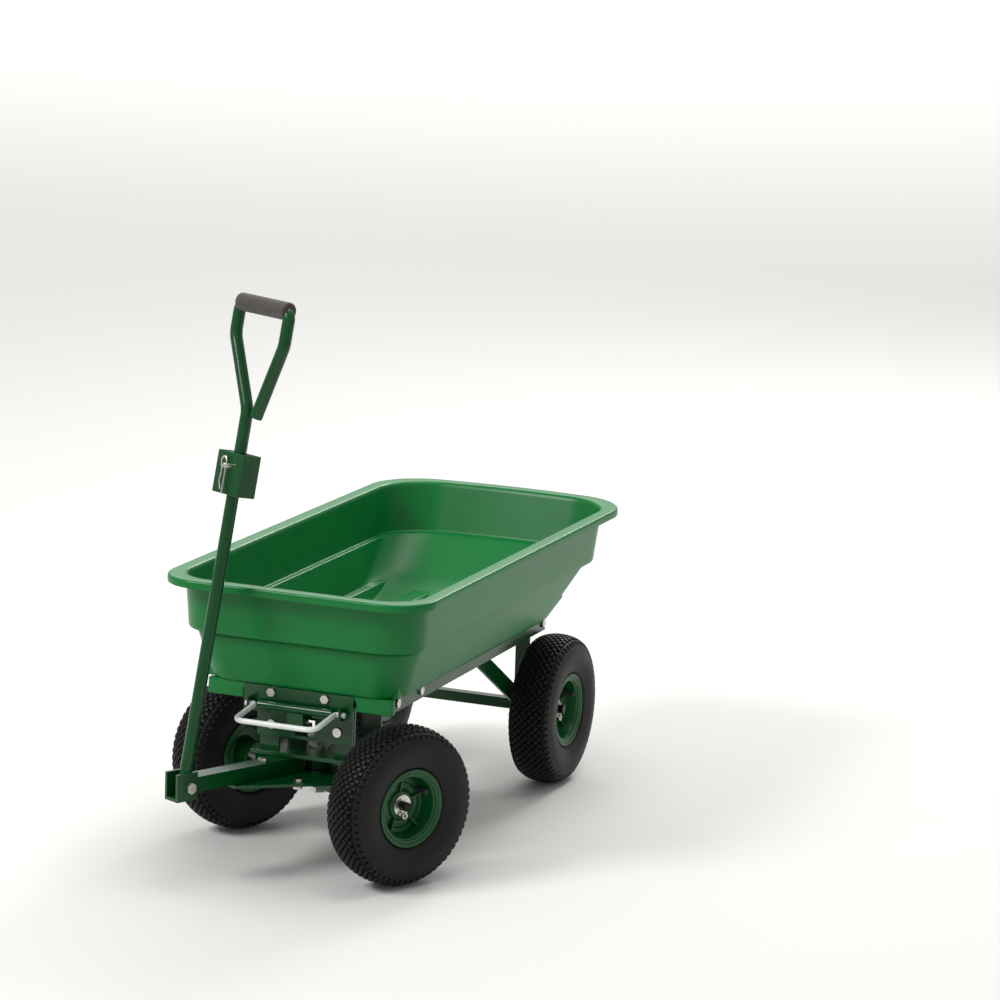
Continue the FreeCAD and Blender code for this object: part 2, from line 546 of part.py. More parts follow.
def tray_outline(height, front, rear, half_width, front_radius, rear_radius):
    """Level outline: straight front and sides, round corners and a slightly bowed rear edge."""
    axle, bow = size("rear_axle_y"), size("rear_bow_radius")
    front_y, rear_y = axle - front, axle + rear
    centre_y = rear_y - bow
    corner_x = half_width - rear_radius
    corner_y = centre_y + math.sqrt((bow - rear_radius) ** 2 - corner_x ** 2)
    turn = math.atan2(corner_y - centre_y, corner_x)

    def spot(x, y, radius=0.0, angle=0.0):
        return Vector(x + radius * math.cos(angle), y + radius * math.sin(angle), height)

    def arc(x, y, radius, first, last):
        return Part.Arc(spot(x, y, radius, first), spot(x, y, radius, (first + last) / 2),
                        spot(x, y, radius, last)).toShape()

    inner_x, corner_f = half_width - front_radius, front_y + front_radius
    right, left = half_width, -half_width
    edges = [
        Part.makeLine(spot(-inner_x, front_y), spot(inner_x, front_y)),
        arc(inner_x, corner_f, front_radius, -math.pi / 2, 0),
        Part.makeLine(spot(right, corner_f), spot(right, corner_y)),
        arc(corner_x, corner_y, rear_radius, 0, turn),
        arc(0, centre_y, bow, turn, math.pi - turn),
        arc(-corner_x, corner_y, rear_radius, math.pi - turn, math.pi),
        Part.makeLine(spot(left, corner_y), spot(left, corner_f)),
        arc(-inner_x, corner_f, front_radius, math.pi, 1.5 * math.pi),
    ]
    return Part.Wire(edges)


def tray_levels(inset):
    """Outlines from the floor to the rim, all moved inwards by `inset`."""
    front, rear, half = size("tray_front"), size("tray_rear"), size("tray_half_width")
    corner_f, corner_r, lip = size("front_corner"), size("rear_corner"), size("lip_width")
    base, step, rim = size("tray_base"), size("tray_step"), size("tray_rim")

    def level(height, front_in, rear_in, side_in, round_in):
        return tray_outline(height, front - front_in - inset, rear - rear_in - inset,
                            half - side_in - inset, corner_f - round_in - inset,
                            corner_r - round_in - inset)

    raise_by = inset
    return {
        "floor": level(base + raise_by, 62, 206, 61, 22),
        "inner_floor": level(base + raise_by, 62, 284, 61, 22),
        "slope_foot": level(base + 18 + raise_by, 53, 184, 55, 19),
        "below_step": level(step + raise_by, 42, 66, 38, 12),
        "above_step": level(step + raise_by, 30, 50, 27, 6),
        "rim": level(rim, lip, 26, lip - 1, 2),
        "past_rim": level(rim + 5, lip, 26, lip - 1, 2),
        "lip_foot": level(size("tray_lip_bottom"), 0, 0, 0, 0),
        "lip_shoulder": level(rim - 8, 0, 0, 0, 0),
        "lip_top": level(rim, 6, 6, 6, 3),
    }


def loft(*wires):
    return Part.makeLoft(list(wires), True, True)


def tray_shell():
    """A moulded tray: two stepped bands, a sloping dump end, a rolled rim and raised bands on the floor."""
    wall = size("tray_wall")
    outer, inner = tray_levels(0.0), tray_levels(wall)
    lower = loft(outer["floor"], outer["below_step"])
    body = lower.fuse(loft(outer["above_step"], outer["rim"]))
    lip = loft(outer["lip_foot"], outer["lip_shoulder"]).fuse(loft(outer["lip_shoulder"], outer["lip_top"]))
    under = tray_levels(3.0)
    groove = loft(tray_at(under, "lip_foot", -1), tray_at(under, "lip_shoulder", 3))
    hollow = loft(inner["inner_floor"], inner["slope_foot"]).fuse(loft(inner["slope_foot"], inner["below_step"]))
    hollow = hollow.fuse(loft(inner["above_step"], inner["past_rim"]))
    shell = lip.cut(groove).fuse(body).fuse(front_skirt()).cut(hollow)
    for band in floor_bands():
        shell = shell.fuse(band.common(lower))
    node(feature("tray_shell", shell.removeSplitter()))


def tray_at(levels, name, lift):
    return levels[name].translated(Vector(0, 0, lift))


def front_skirt():
    """The short foot under the tray's front, notched in the middle for the latch bracket."""
    half, notch, depth = size("skirt_half_width"), size("skirt_notch"), size("skirt_depth")
    front, base, bottom = size("rear_axle_y") - size("skirt_front"), size("tray_base"), size("skirt_bottom")
    block = Part.makeBox(2 * half, depth, base - bottom + 2, Vector(-half, front, bottom))
    upright = [edge for edge in block.Edges if abs(edge.tangentAt(0).z) > 0.9]
    block = block.makeFillet(6, upright)
    inside = Part.makeBox(2 * half - 8, depth - 4, base - bottom, Vector(4 - half, front + 4, bottom - 1))
    gap = Part.makeBox(2 * notch, depth + 2, 18, Vector(-notch, front - 1, bottom - 1))
    return block.cut(inside).cut(gap)


def floor_bands():
    """Two flat-topped ribs and two higher side ledges, all running back into the dump slope."""
    floor, front = size("tray_base") + size("tray_wall"), size("rear_axle_y") - size("tray_front")
    rib, ledge, half = size("rib_height"), size("ledge_height"), size("tray_half_width")
    flank, steep = size("rib_flank"), size("ledge_flank")
    inner, outer, edge = size("rib_inner"), size("rib_outer"), size("ledge_inner")
    ribs = [(inner - flank, floor), (inner, floor + rib), (outer, floor + rib), (outer + flank, floor)]
    ledges = [(edge - steep, floor), (edge, floor + ledge), (half, floor + ledge), (half, floor)]
    bands = []
    for section, end in ((ribs, size("rib_end")), (ledges, size("ledge_end"))):
        length = size("rear_axle_y") + end - front
        for sign in (1, -1):
            points = [(section[0][0], floor - 1), *section, (section[-1][0], floor - 1)]
            corners = [Vector(sign * x, front, z) for x, z in points]
            wire = Part.makePolygon(corners + corners[:1])
            bands.append(Part.Face(wire).extrude(Vector(0, length, 0)))
    return bands


def hinge_straps():
    """Two straps and a cross strap, bolted under the floor, reach back to the tipping rod."""
    back = "rear_axle_y + hinge_back"
    straps = []
    for side, sign in (("right", 1), ("left", -1)):
        flat_x = "strap_x - strap_thickness / 2" if sign > 0 else "-strap_x + strap_thickness / 2 - strap_width"
        flat = box(f"strap_flat_{side}", "strap_width", "strap_length", "2.6",
                   (flat_x, "rear_axle_y - strap_length + 8", "tray_base - 2.7"))
        ear_x = f"{sign} * strap_x - strap_thickness / 2"
        ear = box(f"strap_ear_{side}", "strap_thickness", "hinge_back - 8", "tray_base - 2 - hinge_height + 5",
                  (ear_x, "rear_axle_y + 8", "hinge_height - 5"))
        eye = rod(f"strap_eye_{side}", "lug_radius - 2", "strap_thickness", (ear_x, back, "hinge_height"), "x")
        hole = rod(f"strap_hole_{side}", "hinge_radius + running_gap", "strap_thickness + 2",
                   (f"{ear_x} - 1", back, "hinge_height"), "x")
        straps.append(cut(f"strap_{side}", fuse(f"strap_solid_{side}", flat, ear, eye), hole))
    cross = box("strap_cross", "2 * strap_x", "28", "2.6", ("-strap_x", "rear_axle_y - 96", "tray_base - 2.7"))
    node(fuse("tip_hinge_straps", *straps, cross))


def latch_bracket():
    """The plate on the tray's front foot with two ears for the latch."""
    half, face = "bracket_half_width", "rear_axle_y - skirt_front"
    plate = box("bracket_plate", f"2 * {half}", "bracket_wall", "tray_base - latch_z + 13.5",
                (f"-{half}", f"{face} - bracket_wall", "latch_z - 14"))
    pieces = [plate]
    holes = []
    for side, sign in (("right", 1), ("left", -1)):
        low_x = f"{sign} * (ear_x + 1.5) - 1.5"
        pieces.append(box(f"bracket_ear_{side}", "3", "latch_y - skirt_front + 9", "22",
                          (low_x, "rear_axle_y - latch_y - 9", "latch_z - 11")))
        holes.append(rod(f"bracket_hole_{side}", "latch_wire_radius + running_gap", "6",
                         (f"{low_x} - 1.5", "rear_axle_y - latch_y", "latch_z"), "x"))
    relief = box("bracket_relief", "48", "20", "20", ("-24", f"{face} - 10", "latch_z - 30"))
    node(cut("latch_bracket", fuse("bracket_solid", *pieces), relief, *holes))


def tray_bolts():
    """Domed bolts through the floor into the straps, and hexagon bolts through the latch bracket."""
    floor = "tray_base + tray_wall"
    bolts = []
    for side, sign in (("right", 1), ("left", -1)):
        for row, across, back in (("outer", 111, 130), ("inner", 40, 82)):
            bolts.append(rod(f"floor_bolt_{side}_{row}", "8", "3.5",
                             (f"{sign * across}", f"rear_axle_y - {back}", floor)))
        bolts.append(hexagon(f"bracket_bolt_{side}", "7.5", "5",
                             (f"{sign} * 47", "rear_axle_y - skirt_front - bracket_wall - 5",
                              "tray_base - 9"), "y"))
    node(group("tray_bolts", *bolts))


def latch_handle():
    """One bent wire, hinged in the bracket's ears, with the nose that faces the striker."""
    half, reach, drop = size("latch_half_width"), size("latch_reach"), size("latch_drop")
    pivot_y, pivot_z = size("rear_axle_y") - size("latch_y"), size("latch_z")
    outer = size("ear_x") + 8
    corners = [(-outer, pivot_y, pivot_z), (-half, pivot_y, pivot_z),
               (-half, pivot_y - reach, pivot_z - drop), (half, pivot_y - reach, pivot_z - drop),
               (half, pivot_y, pivot_z), (outer, pivot_y, pivot_z)]
    wire = swept(rounded_path(corners, [6, 16, 16, 6]), size("latch_wire_radius"))
    node(feature("latch_handle", wire))
    clear = size("latch_wire_radius")
    tube = Part.makeCylinder(7, 2 * (half - clear - 0.5), Vector(clear + 0.5 - half, pivot_y, pivot_z),
                             Vector(1, 0, 0))
    striker_face = size("rear_axle_y") - size("striker_y")
    nose_points = [(pivot_y - 3, pivot_z), (pivot_y + 3, pivot_z), (pivot_y + 8, pivot_z - 26),
                   (striker_face - 1, pivot_z - 29), (striker_face - 1, pivot_z - 36),
                   (pivot_y + 2, pivot_z - 36)]
    wire_points = [Vector(-14, y, z) for y, z in nose_points + nose_points[:1]]
    nose = Part.Face(Part.makePolygon(wire_points)).extrude(Vector(28, 0, 0))
    node(feature("latch_hook", tube.fuse(nose).removeSplitter()))


# ---- wheels ----

def rim_body(name):
    """Pressed rim: hub, disc, barrel and two flanges, turned about the axle."""
    half = "rim_width / 2"
    points = [("-hub_inner_end", "bearing_radius"), ("hub_outer_end", "bearing_radius"),
              ("hub_outer_end", "hub_radius"), ("disc_front", "hub_radius"),
              ("disc_front", "barrel_radius - 4"), (half, "barrel_radius"), (half, "rim_radius"),
              (f"{half} - 3", "rim_radius"), (f"{half} - 3", "bead_radius"),
              (f"3 - {half}", "bead_radius"), (f"3 - {half}", "rim_radius"), (f"-{half}", "rim_radius"),
              (f"-{half}", "barrel_radius"), ("-disc_back", "barrel_radius - 4"),
              ("-disc_back", "hub_radius"), ("-hub_inner_end", "hub_radius")]
    body = doc.addObject("PartDesign::Body", name)
    sketch = outline_sketch(body, f"{name}_profile", "XY_Plane", points)
    turned = body.newObject("PartDesign::Revolution", f"{name}_turned")
    turned.Profile = sketch
    turned.ReferenceAxis = (sketch, ["H_Axis"])
    turned.Angle = 360
    return body


def tyre_shape():
    """A pneumatic tyre's carcass: beads inside the rim's flanges, full sidewalls and a crowned tread."""
    radius, half, flange = size("tyre_radius"), size("tyre_width") / 2, size("rim_radius")
    bead, seat, wall = size("bead_radius") + 0.3, size("rim_width") / 2 - 3.3, size("tyre_wall")
    side = [(seat, bead), (seat, flange + 1.5), (seat + 6, flange + 7), (half - 1.5, flange + 20),
            (half, 0.74 * radius), (half - 2.5, radius - 16), (half - 8, radius - 7), (half - 20, radius - 2),
            (4, radius)]
    inside = [(2, radius - 1.6 * wall), (half - 16, radius - 2.4 * wall), (half - 1.4 * wall, radius - 5 * wall),
              (half - wall, 0.72 * radius), (half - 1.6 * wall, flange + 12), (seat - wall, flange + 2),
              (seat - wall, bead)]
    outline = [(-x, y) for x, y in side] + side[::-1] + inside[::-1] + [(-x, y) for x, y in inside]
    corners = [Vector(x, y, 0) for x, y in outline]
    face = Part.Face(Part.makePolygon(corners + corners[:1]))
    return face.revolve(Vector(0, 0, 0), Vector(1, 0, 0), 360)


def wheel(corner, placement):
    """Tyre, rim, two ball bearings and the valve stem of one wheel, outboard side along +X."""
    node(feature(f"tyre_{corner}", tyre_shape(), placement))
    node(rim_body(f"rim_{corner}"), placement)
    rings = []
    for end, start in (("inner", "-hub_inner_end"), ("outer", "hub_outer_end - bearing_width")):
        for race, outer, inner in (("race", "10.3", "axle_radius + running_gap"),
                                   ("shell", "bearing_radius", "10.4")):
            rings.append(ring(f"{end}_{race}_{corner}", outer, inner, "bearing_width", (start, "0", "0"), "x"))
    node(group(f"bearings_{corner}", *rings), placement)
    stem = rod(f"stem_{corner}", "4", "22", ("disc_front", "valve_y", "valve_z"), "x")
    cap = rod(f"stem_cap_{corner}", "4.8", "9", ("disc_front + 16", "valve_y", "valve_z"), "x")
    node(fuse(f"valve_stem_{corner}", stem, cap), placement)


def wheels():
    front = STEERED + " * placement(vector({x}; 0; axle_height); rotationz({turn}))"
    rear = "placement(vector({x}; rear_axle_y; axle_height); rotationz({turn}))"
    wheel("front_right", front.format(x="front_track / 2", turn=0))
    wheel("front_left", front.format(x="-front_track / 2", turn=180))
    wheel("rear_right", rear.format(x="rear_track / 2", turn=0))
    wheel("rear_left", rear.format(x="-rear_track / 2", turn=180))


def build():
    side_rails()
    cross_bars()
    bolster()
    rear_legs()
    tipping_hinge()
    striker()
    frame_bolts()
    hub_fasteners("rear", "rear_track / 2", "beam_half_length", "rear_axle_y")
    front_axle()
    yoke()
    tongue()
    clevis()
    steering_fasteners()
    hub_fasteners("front", "front_track / 2", "front_beam_half", "0", STEERED)
    drawbar()
    coupling_box()
    handle()
    hitch_pin()
    tray_shell()
    hinge_straps()
    latch_bracket()
    tray_bolts()
    latch_handle()
    wheels()


def check_and_export():
    """Stop if anything failed to compute, then write one STEP file for each sub-part."""
    doc.recompute()
    failed = [item.Name for item in doc.Objects if {"Invalid", "Error"} & set(item.State)]
    for item in PARTS:
        if item.Shape.isNull() or not item.Shape.isValid() or not item.Shape.Solids:
            failed.append(item.Label)
    if failed:
        raise RuntimeError(f"not computed: {failed}")
    os.makedirs("parts", exist_ok=True)
    for item in PARTS:
        item.Shape.exportStep(f"parts/{item.Label}.step")
    whole = FreeCAD.BoundBox()
    for item in PARTS:
        whole.add(item.Shape.optimalBoundingBox())
    print(len(PARTS), "sub-parts", whole)


build()
check_and_export()
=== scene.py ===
"""Looks for a garden dump cart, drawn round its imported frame."""
import json
import math

import bpy
import numpy as np
from bpy.props import FloatProperty, FloatVectorProperty, IntProperty, PointerProperty
from mathutils import Matrix, Vector


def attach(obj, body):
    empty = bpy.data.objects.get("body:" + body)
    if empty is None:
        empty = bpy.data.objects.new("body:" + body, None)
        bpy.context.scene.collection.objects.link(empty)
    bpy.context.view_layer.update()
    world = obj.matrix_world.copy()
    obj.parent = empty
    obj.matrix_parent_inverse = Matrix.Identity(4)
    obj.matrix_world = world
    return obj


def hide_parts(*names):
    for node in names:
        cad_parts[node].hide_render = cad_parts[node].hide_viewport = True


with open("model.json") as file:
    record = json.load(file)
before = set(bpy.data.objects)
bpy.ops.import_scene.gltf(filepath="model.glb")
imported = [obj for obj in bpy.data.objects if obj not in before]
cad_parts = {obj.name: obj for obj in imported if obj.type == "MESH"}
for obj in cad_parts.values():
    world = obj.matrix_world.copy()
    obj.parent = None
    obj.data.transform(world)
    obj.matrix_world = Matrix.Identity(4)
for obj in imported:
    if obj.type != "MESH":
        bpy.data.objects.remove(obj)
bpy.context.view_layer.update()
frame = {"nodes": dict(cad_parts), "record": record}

bl_info = {
    "name": "Garden dump cart",
    "version": (1, 0, 0),
    "blender": (4, 5, 0),
    "location": "3D View > Sidebar > Cart",
    "description": "Draws a tipping garden cart on four pneumatic tyres around its packed frame",
    "category": "Object",
}

JOINTS = {joint["name"]: joint for joint in frame["record"]["behaviour"]["joints"]}
CORNERS = ("front_right", "front_left", "rear_right", "rear_left")
MM = 0.001
TURN = 2 * math.pi


def linear(code):
    """'#rrggbb' as linear red, green and blue: each channel is ((c + 0.055) / 1.055) ^ 2.4 above 0.04045."""
    channels = [int(code[i:i + 2], 16) / 255 for i in (1, 3, 5)]
    return tuple(c / 12.92 if c <= 0.04045 else ((c + 0.055) / 1.055) ** 2.4 for c in channels)


# ---- what a user would change ----

def colour(label, about, code):
    return FloatVectorProperty(name=label, description=about, subtype="COLOR", size=3, min=0, max=1,
                               default=linear(code))


def length(label, about, value):
    return FloatProperty(name=label, description=about, default=value, min=0, unit="LENGTH", precision=4)


class CartColours(bpy.types.PropertyGroup):
    """Colours of the cart's finishes."""
    tray: colour("Tray", "Moulded polyethylene of the tray", "#066a2e")
    steel: colour("Steel", "Powder coat on the frame, drawbar and handle", "#014019")
    rim: colour("Rims", "Powder coat on the wheel rims", "#034a1e")
    zinc: colour("Zinc", "Bright zinc plate on bolts, washers and pins", "#c9c8c0")
    tyre: colour("Tyres", "Tyre rubber", "#080808")
    grip: colour("Grip", "Foam rubber of the hand grip", "#3b3634")
    wire: colour("Latch wire", "Dipped coating on the latch handle", "#d9dcda")


class CartSizes(bpy.types.PropertyGroup):
    """Sizes of the details that are drawn on the frame."""
    tread_depth: length("Tread depth", "Depth of the grooves between the tread blocks", 3.2 * MM)
    tread_pitches: IntProperty(name="Tread pitches", description="Diamonds round one tyre", default=62,
                               min=20, max=90)
    rim_ribs: IntProperty(name="Rim ribs", description="Stiffening ribs in one rim", default=5, min=3, max=9)
    lip_round: length("Lip rounding", "Radius of the tray's rolled rim", 7 * MM)
    rib_height: length("Floor rib height", "Height of the tray floor's middle ribs", 12 * MM)


# ---- seats: where a body's own axes lie in the frame ----

def seat(origin, x_axis, z_axis):
    """An origin in metres and a matrix whose rows are the seat's x, y and z directions."""
    x = np.array(x_axis, float) / np.linalg.norm(x_axis)
    z = np.array(z_axis, float) - np.dot(z_axis, x) * x
    z /= np.linalg.norm(z)
    return np.array(origin, float), np.stack([x, np.cross(z, x), z])


def put(points, place):
    """Millimetres on a seat's axes to metres in the frame: origin + points . axes."""
    origin, axes = place
    return origin + np.asarray(points, float) @ axes * MM


def wheel_seat(corner):
    """A wheel's centre, with x outward along its axle and z up."""
    joint = JOINTS[f"spin_{corner}"]
    outward = np.array(joint["axis"]) * (1 if corner.endswith("right") else -1)
    return seat(joint["pos_m"], outward, (0, 0, 1))


REAR_AXLE = seat((0, JOINTS["spin_rear_right"]["pos_m"][1], 0), (1, 0, 0), (0, 0, 1))
PIN_AXIS = np.array(JOINTS["hitch_pin_turn"]["axis"])
BAR = seat(JOINTS["drawbar_lift"]["pos_m"], JOINTS["drawbar_lift"]["axis"],
           np.cross(JOINTS["drawbar_lift"]["axis"], -PIN_AXIS))


# ---- surfaces ----

def grid(points, close_rows=False, close_columns=False):
    """A sheet of quads through points[row, column], joined end to start where asked.

    Every surface is its points and a list of face blocks; the faces in one block have as many corners as each other.
    """
    rows, columns = points.shape[:2]
    index = np.arange(rows * columns).reshape(rows, columns)
    if close_rows:
        index = np.vstack([index, index[:1]])
    if close_columns:
        index = np.hstack([index, index[:, :1]])
    quads = np.stack([index[:-1, :-1], index[:-1, 1:], index[1:, 1:], index[1:, :-1]], axis=-1)
    return points.reshape(-1, 3), [quads.reshape(-1, 4)]


def turned(profile, count, place):
    """Revolve (axial, radius) rows about the seat's x: y = r sin a, z = r cos a."""
    profile = np.asarray(profile, float)
    angle = np.linspace(0, TURN, count, endpoint=False)
    axial, radius = np.repeat(profile[:, :1], count, 1), profile[:, 1:2] * np.ones(count)
    points = np.stack([axial, radius * np.sin(angle), radius * np.cos(angle)], -1)
    closed = np.allclose(profile[0], profile[-1])
    return grid(put(points[:-1] if closed else points, place), closed, True)


def soften(keys, reach, steps=6):
    """Round a polyline's corners: each becomes a quadratic arc between points `reach` before and after it."""
    keys = np.asarray(keys, float)
    reach = np.broadcast_to(reach, len(keys) - 2)
    t = np.linspace(0, 1, steps)[:, None]
    rows = [keys[:1]]
    for before, corner, after, limit in zip(keys[:-2], keys[1:-1], keys[2:], reach):
        back, ahead = before - corner, after - corner
        start = corner + back * min(limit / max(np.linalg.norm(back), 1e-9), 0.5)
        end = corner + ahead * min(limit / max(np.linalg.norm(ahead), 1e-9), 0.5)
        rows.append((1 - t) ** 2 * start + 2 * t * (1 - t) * corner + t ** 2 * end)
    rows.append(keys[-1:])
    return np.vstack(rows)


def tube(path, radius, normal, place, sides=20, wall=0.0):
    """A round bar or pipe along a flat path: each ring is centre + r (cos a n + sin a tangent x n).

    A bar's end is closed through one smaller ring to its middle.
    """
    end_ring = 0.82
    path = np.asarray(path, float)
    tangent = np.gradient(path, axis=0)
    tangent /= np.linalg.norm(tangent, axis=1)[:, None]
    normal = np.broadcast_to(np.asarray(normal, float), path.shape)
    side = np.cross(tangent, normal)
    angle = np.linspace(0, TURN, sides, endpoint=False)[None, :, None]

    def rings(size):
        size = np.broadcast_to(size, len(path))[:, None, None]
        return path[:, None] + size * (np.cos(angle) * normal[:, None] + np.sin(angle) * side[:, None])

    outer = rings(radius)
    if wall:
        points = np.concatenate([outer, rings(radius - wall)[::-1]])
        return grid(put(points, place), True, True)
    ends = [np.repeat(path[i][None, None], sides, 1) for i in (0, -1)]
    inset = [path[i] + (outer[i] - path[i]) * end_ring for i in (0, -1)]
    points = np.concatenate([ends[0], inset[0][None], outer, inset[1][None], ends[1]])
    return grid(put(points, place), False, True)


def slab(outline, low, high, place, edge=0.8):
    """A flat plate with broken edges: the outline drawn in by `edge` at both faces, which are one face each."""
    outline = np.asarray(outline, float)
    centre = outline.mean(axis=0)
    count = len(outline)
    following = np.roll(outline, -1, 0) - outline
    before = outline - np.roll(outline, 1, 0)
    tangent = following / np.linalg.norm(following, axis=1)[:, None]
    tangent += before / np.linalg.norm(before, axis=1)[:, None]
    tangent /= np.linalg.norm(tangent, axis=1)[:, None]
    inward = np.stack([-tangent[:, 1], tangent[:, 0]], 1)
    if np.sum(inward * (centre - outline)) < 0:
        outline, inward = outline[::-1], -inward[::-1]
    rows = [(low, edge), (low + edge, 0), (high - edge, 0), (high, edge)]
    points = np.stack([np.hstack([outline + inward * e, np.full((count, 1), z)]) for z, e in rows])
    verts, (quads,) = grid(put(points, place), False, True)
    caps = np.stack([np.arange(count), np.arange(3 * count, 4 * count)[::-1]])
    return verts, [quads[:, ::-1], caps]


def rounded(corners, radius, steps=5):
    """A closed flat outline with each corner turned by a short arc."""
    corners = np.asarray(corners, float)
    loop = np.vstack([corners[-1:], corners, corners[:1]])
    return soften(loop, radius, steps)[1:-1]


def rounded_line(corners, radii, steps=9, span=6.0):
    """Straight runs joined by tangent arcs, with points every `span` millimetres on the runs."""
    corners = np.asarray(corners, float)
    rows, start = [corners[:1]], corners[0]
    for before, corner, after, radius in zip(corners[:-2], corners[1:-1], corners[2:], radii):
        back = (before - corner) / np.linalg.norm(before - corner)
        ahead = (after - corner) / np.linalg.norm(after - corner)
        half = math.acos(np.clip(back @ ahead, -1, 1)) / 2
        entry, leave = corner + back * radius / math.tan(half), corner + ahead * radius / math.tan(half)
        centre = corner + (back + ahead) / np.linalg.norm(back + ahead) * radius / math.sin(half)
        count = max(2, int(np.linalg.norm(entry - start) / span))
        rows.append(np.linspace(start, entry, count)[1:])
        t = np.linspace(0, 1, steps)[1:, None]
        sweep = math.pi - 2 * half
        blend = np.sin((1 - t) * sweep) * (entry - centre) + np.sin(t * sweep) * (leave - centre)
        rows.append(centre + blend / math.sin(sweep))
        start = leave
    count = max(2, int(np.linalg.norm(corners[-1] - start) / span))
    rows.append(np.linspace(start, corners[-1], count)[1:])
    return np.vstack(rows)


# ---- pieces ----

def piece(name, shells, material, body, nodes=(), sharp=35):
    """One object from several surfaces, smooth apart from edges sharper than `sharp` degrees."""
    points = np.vstack([shell[0] for shell in shells])
    faces, offset = [], 0
    for shell_points, blocks in shells:
        for block in blocks:
            faces += (block + offset).tolist()
        offset += len(shell_points)
    mesh = bpy.data.meshes.new(name)
    mesh.from_pydata(points.tolist(), [], faces)
    mesh.validate()
    mesh.polygons.foreach_set("use_smooth", np.ones(len(mesh.polygons), bool))
    mesh.set_sharp_from_angle(angle=math.radians(sharp))
    mesh.materials.append(bpy.data.materials[material])
    item = bpy.data.objects.new(name, mesh)
    bpy.context.scene.collection.objects.link(item)
    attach(item, body)
    if nodes:
        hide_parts(*nodes)
    return item


def finish_nodes(material, *names):
    """Give carried-over frame nodes their finish."""
    for name in names:
        mesh = frame["nodes"][name].data
        mesh.materials.clear()
        mesh.materials.append(bpy.data.materials[material])


# ---- materials ----

def add(tree, kind, inputs=None, **settings):
    """Add one node: settings go on the node, and each input gets a value or a link from a socket."""
    item = tree.nodes.new(kind)
    for key, value in settings.items():
        setattr(item, key, value)
    for key, value in (inputs or {}).items():
        if isinstance(value, bpy.types.NodeSocket):
            tree.links.new(value, item.inputs[key])
        else:
            item.inputs[key].default_value = value
    return item


def new_material(name, **surface):
    """A Principled material and its tree; `surface` are values set on the shader's own sockets."""
    material = bpy.data.materials.new(name)
    material.use_nodes = True
    tree = material.node_tree
    shader = tree.nodes["Principled BSDF"]
    for key, value in surface.items():
        shader.inputs[key.replace("_", " ")].default_value = value
    return tree, shader


def clouded(tree, shader, base, shades, scale, roughness, detail=4.0):
    """Move the colour between two shades of `base`, and the roughness between two values, by one slow noise.

    Returns the Object coordinates that the noise reads.
    """
    place = add(tree, "ShaderNodeTexCoord").outputs["Object"]
    cloud = add(tree, "ShaderNodeTexNoise", {"Vector": place, "Scale": scale, "Detail": detail})
    ramp = add(tree, "ShaderNodeValToRGB", {"Fac": cloud.outputs["Fac"]})
    for stop, position, shade in zip(ramp.color_ramp.elements, (0.32, 0.68), shades):
        stop.position = position
        stop.color = (*[min(1, c * shade) for c in base], 1)
    tree.links.new(ramp.outputs["Color"], shader.inputs["Base Color"])
    rough = add(tree, "ShaderNodeMapRange",
                {"Value": cloud.outputs["Fac"], "To Min": roughness[0], "To Max": roughness[1]})
    tree.links.new(rough.outputs["Result"], shader.inputs["Roughness"])
    return place


def grained(tree, shader, place, scale, detail, distance, strength, under=None):
    """Raise a fine noise, `scale` lumps to the metre and `distance` metres high, over the node `under`'s normal."""
    grain = add(tree, "ShaderNodeTexNoise", {"Vector": place, "Scale": scale, "Detail": detail})
    inputs = {"Height": grain.outputs["Fac"], "Distance": distance, "Strength": strength}
    if under is not None:
        inputs["Normal"] = under.outputs["Normal"]
    bump = add(tree, "ShaderNodeBump", inputs)
    tree.links.new(bump.outputs["Normal"], shader.inputs["Normal"])


def moulded_polyethylene(colours):
    """Moulded polyethylene: an even, waxy satin green with a faint pebbled skin."""
    tree, shader = new_material("moulded_polyethylene", IOR=1.51, Specular_IOR_Level=0.25)
    place = clouded(tree, shader, tuple(colours.tray), (0.9, 1.12), 5.0, (0.27, 0.38))
    # Flow waves about 70 mm long lie under pebbles about 1.5 mm across.
    waves = add(tree, "ShaderNodeTexNoise", {"Vector": place, "Scale": 14.0, "Detail": 1.0})
    flow = add(tree, "ShaderNodeBump", {"Height": waves.outputs["Fac"], "Distance": 0.0012, "Strength": 0.25})
    grained(tree, shader, place, 650.0, 2.0, 0.0002, 0.25, flow)


def powder_coat(name, base, roughness):
    """Gloss powder coat on steel: a wet-looking film with orange peel, which softens the steel's edges."""
    tree, shader = new_material(name, IOR=1.5, Specular_IOR_Level=0.4)
    place = clouded(tree, shader, base, (0.86, 1.12), 9.0, (roughness - 0.05, roughness + 0.08))
    film = add(tree, "ShaderNodeBevel", {"Radius": 0.0008}, samples=4)
    # Orange peel: lumps of about 2.4 mm.
    grained(tree, shader, place, 420.0, 1.5, 0.00025, 0.3, film)


def bright_zinc(colours):
    """Bright zinc plate: pale bluish metal, a little cloudy where the chromate dried."""
    tree, shader = new_material("bright_zinc_plate", Metallic=1.0)
    place = clouded(tree, shader, tuple(colours.zinc), (0.82, 1.15), 60.0, (0.22, 0.38))
    # Handling marks of about 1 mm.
    grained(tree, shader, place, 900.0, 2.0, 0.00008, 0.3)


def tyre_rubber(colours):
    """Carbon-black tyre rubber: matt, with a mould sheen and fine dust in cloudy patches."""
    tree, shader = new_material("vulcanised_tyre_rubber", IOR=1.52, Specular_IOR_Level=0.25)
    place = clouded(tree, shader, tuple(colours.tyre), (0.7, 1.7), 22.0, (0.42, 0.66), 6.0)
    # Mould grain of about 1.2 mm.
    grained(tree, shader, place, 800.0, 3.0, 0.0003, 0.35)


